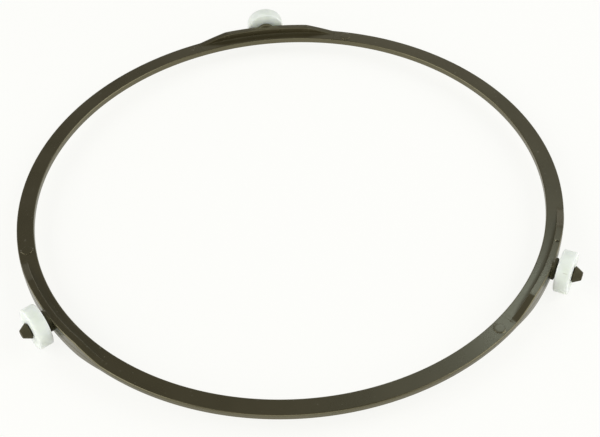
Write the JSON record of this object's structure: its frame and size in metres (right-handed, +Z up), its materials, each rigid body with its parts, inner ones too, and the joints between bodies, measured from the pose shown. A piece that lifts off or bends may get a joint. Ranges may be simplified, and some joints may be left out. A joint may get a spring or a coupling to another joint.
{
  "type": "microwave turntable roller ring",
  "caption": "Flat moulded support ring with ramped bosses and stub axles that carry loose rollers, for turning a microwave oven's glass plate.",
  "frame": {"origin": "on the ring's axis, in the plane of the roller axles, which passes through the flat band", "axes": "+Z up along the ring's axis, towards the glass plate; +Y towards the back roller"},
  "size_m": [0.2, 0.2101, 0.015],
  "materials": {
    "ring_plastic": "semi-gloss moulded dark brown plastic",
    "roller_plastic": "satin natural white plastic"
  },
  "bodies": {
    "ring": {"support_ring": "ring_plastic"},
    "wheel_back": {"roller_back": "roller_plastic"},
    "wheel_left": {"roller_left": "roller_plastic"},
    "wheel_right": {"roller_right": "roller_plastic"}
  },
  "joints": [
    {"name": "roller_back_spin", "type": "hinge", "parent": "ring", "child": "wheel_back", "pos_m": [0, 0.10435, 0], "axis": [0, 1, 0], "continuous": true},
    {"name": "roller_left_spin", "type": "hinge", "parent": "ring", "child": "wheel_left", "pos_m": [-0.09037, -0.05217, 0], "axis": [-0.866, -0.5, 0], "continuous": true},
    {"name": "roller_right_spin", "type": "hinge", "parent": "ring", "child": "wheel_right", "pos_m": [0.09037, -0.05217, 0], "axis": [0.866, -0.5, 0], "continuous": true}
  ]
}
